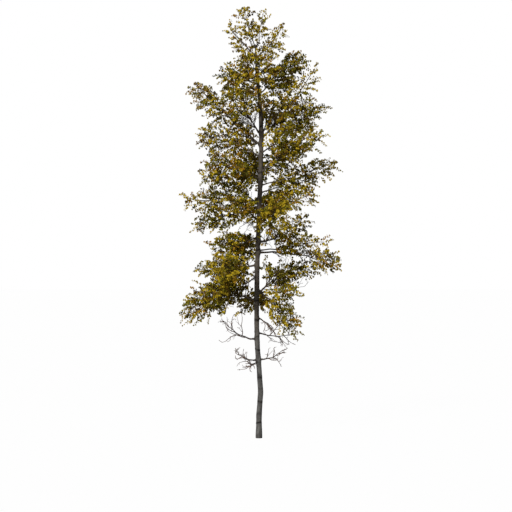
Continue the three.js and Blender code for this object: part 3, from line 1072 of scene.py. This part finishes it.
def add_twigs(points, parents, order):
    load = load_on(parents, order)
    radii = TWIG_TIP * load ** (1 / PIPE_POWER)
    for run in runs(parents, order, load):
        thick = radii[run]
        thick[0] = thick[1]
        line = smooth_path(points[run], TWIG_STEP)
        girth = np.interp(np.linspace(0, len(run) - 1, len(line)), np.arange(len(run)), thick)
        twigs.add(*tube(line, girth, 5 if thick[0] > ROUND_TWIG else 3))


# %% Grow every mass
for number, spine in enumerate(spines.values()):
    dice = np.random.default_rng(100 + number)
    core = smooth_path(spine["path"][spine["leafy_from"]:], SPINE_STEP)
    points, parents, headings, order = grow(core, scatter_sprays(spine["solid"], core, dice))
    add_twigs(points, parents, order)
    away = from_line(core, points[order])
    reach = np.linalg.norm(away, axis=1)
    sprays["base"].append(points[order])
    sprays["heading"].append(headings[order])
    sprays["away"].append(unit(away))
    sprays["depth"].append(1 - np.clip(reach / np.quantile(reach, 0.9), 0, 1))
    sprays["mass"].append(np.full(len(order), number))
base, heading, away, depth, mass = (np.concatenate(each) for each in sprays.values())
print("sprays:", len(base))

# %% [markdown]
# ## Leafy shoots
# The last stretch of wood is this year's shoot: a hand or two long, thin as a straw, with a leaf every few
# centimetres. It keeps the heading of its twig, leans away from the trunk to the light, and droops a little
# at its end. A few near the skin of the crown run on, straight and long. There are nearly four thousand, so
# all of them are worked out at once, with one row of numbers for each.

# %% Which way the shoots grow
SHOOT_LENGTH = (0.13, 0.38)
SPIRE_SHARE = 0.07  # of the shoots run on, straight and long
SPIRE_DEPTH = 0.4  # only sprays less deep in their mass than this run on
SPIRE_LENGTH = 0.55
OUTREACH = 0.05  # how far a shoot's tip may pass the box of the whole tree
TWIG_PULL, OUTWARD_PULL, AWAY_PULL, UP_PULL = 0.5, 0.45, 0.4, 0.2  # what sets a shoot's way, and how much
SHOOT_SCATTER = 0.28
TOP_LIGHT = 0.3  # this far under the tip and above it, shoots lean away from one point of the stem

dice = np.random.default_rng(7)
middles, _ = trunk_at(np.clip(base[:, 2], 0, trunk_top - TOP_LIGHT))
outward = unit((base - middles) * [1, 1, 0.25])
pull = TWIG_PULL * heading + OUTWARD_PULL * outward + AWAY_PULL * away + [0, 0, UP_PULL]
way = unit(pull + dice.normal(0, SHOOT_SCATTER, base.shape))
length = dice.uniform(*SHOOT_LENGTH, len(base))
spire = (dice.random(len(base)) < SPIRE_SHARE) & (depth < SPIRE_DEPTH)
length[spire] = SPIRE_LENGTH
way[spire] = unit(heading[spire] + 0.5 * outward[spire] + [0, 0, 0.45])
tip = base + way * length[:, None]
outside = (tip < np.array(frame_low) - OUTREACH).any(1) | (tip > np.array(frame_high) + OUTREACH).any(1)
length[outside] = SHOOT_LENGTH[0] / 2
print("shoots:", len(way), "of which run on:", int(spire.sum()), "cut short:", int(outside.sum()))

# %% [markdown]
# ## Shoots as meshes
# Each shoot is a thin tube with three sides and four rings, which is all that one sees of a straw from some
# metres away. The twigs are complete by now as well. They and the shoots are two pieces, because each has
# its own bark.

# %% Shoot meshes
SHOOT_POINTS = 4
SHOOT_SIDES = 3
SHOOT_RADIUS = 0.0022
SHOOT_TAPER = 0.6
SHOOT_DROOP = 0.22  # of its length, at its tip

steps = np.linspace(0, 1, SHOOT_POINTS)
shoots = base[:, None] + way[:, None] * (length[:, None] * steps)[..., None]
shoots[..., 2] -= SHOOT_DROOP * length[:, None] * steps**2

side = unit(np.cross(way, dice.normal(size=way.shape)))
over = np.cross(way, side)
corners = np.arange(SHOOT_SIDES) * FULL_TURN / SHOOT_SIDES
spread = np.cos(corners)[:, None, None] * side + np.sin(corners)[:, None, None] * over
girth = SHOOT_RADIUS * (1 - SHOOT_TAPER * steps)
skin = shoots[:, :, None] + spread.transpose(1, 0, 2)[:, None] * girth[None, :, None, None]
index = np.arange(skin[..., 0].size).reshape(skin.shape[:3])
here, there = index[:, :-1], index[:, 1:]
low = np.stack([here, np.roll(here, -1, 2), np.roll(there, -1, 2)], -1).reshape(-1, 3)
high = np.stack([here, np.roll(there, -1, 2), there], -1).reshape(-1, 3)
add_piece("twigs", *twigs.joined(), twig_bark, "bark")
add_piece("shoots", skin.reshape(-1, 3), np.concatenate([low, high]), shoot_bark, "bark")

# %% [markdown]
# ## A leaf
# A poplar leaf of this kind is nearly round, with a short point, on a flat stalk almost as long as its
# blade. Ours has eight corners and a fold along its middle, which is enough to catch the light on one half
# at a time. It is drawn once, one metre long, and every leaf of the tree is a scaled and turned copy.

# %% Leaf shape
LEAF_OUTLINE = ((0.0, 0.0), (0.36, 0.12), (0.50, 0.42), (0.33, 0.76), (0.0, 1.0))
FOLD = 0.16
TIP_BEND = -0.06

outline = np.array(LEAF_OUTLINE)
right = np.column_stack([outline[1:4, 0], outline[1:4, 1], FOLD * outline[1:4, 0]])
left = right * [-1, 1, 1]
blade = np.vstack([[0, 0, 0], right, [0, 1, TIP_BEND], left])
blade_faces = np.array([[0, 1, 2], [0, 2, 3], [0, 3, 4], [0, 6, 5], [0, 7, 6], [0, 4, 7]])
print("corners of a leaf:", len(blade))

# %% [markdown]
# ## Leaves on their shoots
# Stalks leave a shoot in a spiral, turned from one to the next by the golden angle, so that no leaf stands
# right over another. Towards the tip they point more and more forwards. A flat stalk is too weak to hold its
# blade up, so each blade hangs from the end of its stalk, twisted its own way. Copies made by hand or by an
# instancer would also do. Worked out as arrays, all the leaves of one tint can be one mesh.

# %% Where each stalk ends
LEAF_SIZE = 0.068
LEAF_SIZES = (0.72, 1.18)  # smallest and largest leaf, as shares of that size
LEAVES_PER_SHOOT = 12
STALK_SHARE = 0.55  # a stalk's length as a share of its blade's
FIRST_SIZE, SIZE_LOSS = 1.05, 0.25  # leaves are smaller towards the shoot's tip
STALK_FORWARDS, FORWARDS_GAIN = 0.25, 0.9
TURN_SCATTER, STALK_SCATTER = 0.4, 0.25

dice = np.random.default_rng(11)
number = len(base) * LEAVES_PER_SHOOT
owner = np.repeat(np.arange(len(base)), LEAVES_PER_SHOOT)
rank = np.tile(np.arange(LEAVES_PER_SHOOT), len(base))
share = np.clip((rank + dice.uniform(0.1, 0.9, number)) / LEAVES_PER_SHOOT, 0, 1) ** 0.8
foot = base[owner] + way[owner] * (length[owner] * share)[:, None]
foot[:, 2] -= SHOOT_DROOP * length[owner] * share**2
first_turn = dice.uniform(0, FULL_TURN, len(base))
spiral = rank * GOLDEN_ANGLE + first_turn[owner] + dice.normal(0, TURN_SCATTER, number)
sideways = side[owner] * np.cos(spiral)[:, None] + over[owner] * np.sin(spiral)[:, None]
forwards = way[owner] * (STALK_FORWARDS + FORWARDS_GAIN * share)[:, None]
stalk_way = unit(sideways + forwards + dice.normal(0, STALK_SCATTER, (number, 3)))
size = LEAF_SIZE * dice.uniform(*LEAF_SIZES, number) * (FIRST_SIZE - SIZE_LOSS * share)
stalk_end = foot + stalk_way * (size * STALK_SHARE)[:, None]
print("places for a leaf:", number)

# %% Leaf meshes
BLADE_WIDTH = 0.98  # against the shape drawn above
STALK_WIDTH = 0.0018
HANG = [0, 0, -0.9]
HANG_SCATTER, TWIST_SCATTER = 0.3, 0.7
BARK_CLEARANCE = 0.03  # a leaf nearer than this to the trunk is left out

tip_way = unit(stalk_way * 0.4 + HANG + dice.normal(0, HANG_SCATTER, (number, 3)))
twist = dice.normal(0, TWIST_SCATTER, (number, 3)) * [1, 1, 0.4]
facing = unit(twist + outward[owner] * 0.4 + [0, 0, 0.12])
across = unit(np.cross(tip_way, facing))
normal = np.cross(across, tip_way)
blade_points = (
    stalk_end[:, None]
    + across[:, None] * (blade[:, 0] * BLADE_WIDTH)[None, :, None] * size[:, None, None]
    + tip_way[:, None] * blade[:, 1][None, :, None] * size[:, None, None]
    + normal[:, None] * blade[:, 2][None, :, None] * size[:, None, None]
)
edge = across * STALK_WIDTH / 2
stalk_points = np.stack([foot - edge, foot + edge, stalk_end + edge, stalk_end - edge], 1)
stalk_faces = np.array([[0, 1, 2], [0, 2, 3]]) + len(blade)
leaf_points = np.concatenate([blade_points, stalk_points], 1)
leaf_faces = np.vstack([blade_faces, stalk_faces])
trunk_middles, trunk_girth = trunk_at(stalk_end[:, 2].clip(0, trunk_top))
clear = np.linalg.norm((stalk_end - trunk_middles)[:, :2], axis=1) > trunk_girth + BARK_CLEARANCE
print("leaves:", int(clear.sum()))

# %% [markdown]
# ## Leaf finish
# An autumn leaf isn't one flat colour: it has darker clouds where it has begun to wither, and small
# freckles. Both are noise, and both are the same in all the tints, so they are a node group too. It takes
# the colour of the leaf, the colour of its freckles, and how strong they are. A painted picture of each leaf
# would be finer still, but on a whole tree nobody could tell.

# %% Leaf node group
CLOUD_SCALE, CLOUD_STEP = 26.0, (0.35, 0.75)
FRECKLE_SCALE, FRECKLE_STEP = 150.0, (0.62, 0.70)
LEAF_ROUGHNESS, CLOUD_ROUGHNESS = 0.45, 0.2

mottle_group, mottle_in, mottle_out = new_group(
    "leaf_mottle",
    {"Leaf": (0.3, 0.2, 0.03, 1), "Freckle": (0.1, 0.06, 0.02, 1), "Amount": 0.5},
    {"Colour": (0, 0, 0, 1), "Roughness": 0.0},
)
place = mottle_group.nodes.new("ShaderNodeTexCoord").outputs["Object"]
cloud = stepped(mottle_group, noise(mottle_group, place, CLOUD_SCALE, 3.0), *CLOUD_STEP)
freckle = stepped(mottle_group, noise(mottle_group, place, FRECKLE_SCALE, 2.0), *FRECKLE_STEP)
clouds = arithmetic(mottle_group, "MULTIPLY", cloud, mottle_in.outputs["Amount"])
clouded = mixed(mottle_group, mottle_in.outputs["Leaf"], mottle_in.outputs["Freckle"], clouds)
freckles = arithmetic(mottle_group, "MULTIPLY", freckle, mottle_in.outputs["Amount"])
freckled = mixed(mottle_group, clouded, mottle_in.outputs["Freckle"], freckles)
mottle_group.links.new(freckled, mottle_out.inputs["Colour"])
rough = arithmetic(mottle_group, "MULTIPLY", cloud, CLOUD_ROUGHNESS)
rough = arithmetic(mottle_group, "ADD", rough, LEAF_ROUGHNESS)
mottle_group.links.new(rough, mottle_out.inputs["Roughness"])
print("leaf group:", len(mottle_group.nodes), "nodes")

# %% [markdown]
# ## Autumn tints
# A poplar's crown in autumn is gold outside and duller within. Seven tints are enough, from bright gold to
# brown. Old gold, moss and brown are darker copies of gold, olive gold and bronze: in part the leaves' own
# colour, in part painted shade for the inside of the crown. Each has a shader of its own around the node
# group, and belongs to one of the three leaf finishes that the frame knows. The leaves hardly shine, as
# their wax is dull.

# %% Leaf materials
# old_gold, moss and brown are darker copies of other tints, dealt to shaded sprays: partly painted shade
TINTS = {  # colour of each tint, and the finish of the frame it belongs to
    "gold": ((0.370, 0.272, 0.014), "gold_leaves"),
    "old_gold": ((0.250, 0.178, 0.009), "gold_leaves"),
    "amber": ((0.275, 0.152, 0.009), "gold_leaves"),
    "olive_gold": ((0.172, 0.148, 0.010), "olive_leaves"),
    "moss": ((0.094, 0.082, 0.009), "olive_leaves"),
    "bronze": ((0.158, 0.096, 0.010), "bronze_leaves"),
    "brown": ((0.080, 0.050, 0.009), "bronze_leaves"),
}
LEAF_SHEEN = 0.05
FRECKLE_TINT = (0.55, 0.53, 0.60)  # a freckle's colour against its leaf's
FRECKLING = 0.45


def leaf_material(name, colour):
    """A leaf finish in one tint, from the leaf group."""
    material = bpy.data.materials.new("leaf_" + name)
    material.use_nodes = True
    tree = material.node_tree
    shader = tree.nodes["Principled BSDF"]
    shader.inputs["Specular IOR Level"].default_value = LEAF_SHEEN
    group = tree.nodes.new("ShaderNodeGroup")
    group.node_tree = mottle_group
    group.inputs["Leaf"].default_value = (*colour, 1)
    group.inputs["Freckle"].default_value = (*(part * tint for part, tint in zip(colour, FRECKLE_TINT)), 1)
    group.inputs["Amount"].default_value = FRECKLING
    tree.links.new(group.outputs["Colour"], shader.inputs["Base Color"])
    tree.links.new(group.outputs["Roughness"], shader.inputs["Roughness"])
    return material


# %% [markdown]
# ## How much light each spray gets
# Leaves in the open turn gold, and leaves in the shade stay green or go brown. The darker tints that shaded
# sprays get are also painted shade, laid on top of the shade that the crown really casts. To follow rays of
# light through the crown would be slow. Two numbers do nearly as well: how deep in its mass a spray sits,
# and how many other sprays crowd round it.

# %% Shade
CROWDING_REACH = 0.45  # other sprays nearer than this shade one
DEPTH_SHADE, CROWDING_SHADE = 0.5, 1.15
OPEN_SHADE = 0.30  # this much doesn't count as shade yet

middle = base + way * length[:, None] / 2
crowding = np.array([(((middle - point) ** 2).sum(1) < CROWDING_REACH**2).sum() for point in middle])
# how shaded a spray is; it deals the darker tints, which are partly painted shade
shade = DEPTH_SHADE * depth + CROWDING_SHADE * crowding / np.quantile(crowding, 0.95) - OPEN_SHADE
shade = np.clip(shade, 0, 1)[:, None]
print("shade: mean %.2f" % shade.mean())

# %% [markdown]
# ## A tint for each spray
# The leaves of one spray turn together, so a tint is dealt to a whole spray. A bough's foliage leans to
# gold, to olive or to bronze, as its solid says. That sets how often each tint is dealt, once for sprays in
# the open and once for sprays in full shade, where the darker tints are partly painted shade. A spray's own
# shade lies between the two, and chance picks its tint.

# %% Deal the tints
OUTER_SHARES = {  # how often each tint is dealt in the open, in the order of TINTS
    "gold_leaves": (0.66, 0.14, 0.07, 0.10, 0.01, 0.02, 0.00),
    "olive_leaves": (0.48, 0.20, 0.05, 0.20, 0.04, 0.03, 0.00),
    "bronze_leaves": (0.44, 0.20, 0.14, 0.12, 0.03, 0.06, 0.01),
}
# in full shade the darker tints win: partly the leaves' own colour, partly painted shade
INNER_SHARES = {  # the same in full shade
    "gold_leaves": (0.02, 0.20, 0.04, 0.25, 0.20, 0.18, 0.11),
    "olive_leaves": (0.01, 0.10, 0.02, 0.30, 0.34, 0.13, 0.10),
    "bronze_leaves": (0.01, 0.09, 0.07, 0.17, 0.20, 0.25, 0.21),
}

dice = np.random.default_rng(23)
spray_tint = np.empty(len(base), int)
for number, name in enumerate(spines):
    slot = slot_of_solid[name]
    mine = np.flatnonzero(mass == number)
    shares = shade[mine] * INNER_SHARES[slot] + (1 - shade[mine]) * OUTER_SHARES[slot]
    spray_tint[mine] = (dice.random((len(mine), 1)) > np.cumsum(shares, 1)).sum(1).clip(0, len(TINTS) - 1)
print("sprays of each tint:", dict(zip(TINTS, np.bincount(spray_tint, minlength=len(TINTS)).tolist())))

# %% [markdown]
# ## The leaves, joined by tint
# Single leaves as objects would be far too many, so all the leaves of one tint are one mesh. Each mesh
# stands for the masses of foliage whose finish it shares. The halves of a blade stay flat, so that the fold
# is crisp.

# %% Join the leaves
for number, (tint, (colour, slot)) in enumerate(TINTS.items()):
    mine = clear & (spray_tint[owner] == number)
    points = leaf_points[mine]
    faces = leaf_faces[None] + (np.arange(len(points)) * points.shape[1])[:, None, None]
    points, faces = points.reshape(-1, 3), faces.reshape(-1, 3)
    piece = add_piece("leaves_" + tint, points, faces, leaf_material(tint, colour), slot, smooth=False)
    same_slot = [name for name in foliage if slot_of_solid[name] == slot]
    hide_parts(*same_slot)

# %% [markdown]
# ## Sizes, and the end
# The grown tree can't keep exactly to the box of the solids, as shoots reach past it. The box of the grown
# tree is printed.

# %% Sizes, and the end
low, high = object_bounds()
print("grown:", [round(value, 2) for value in (*low, *high)])
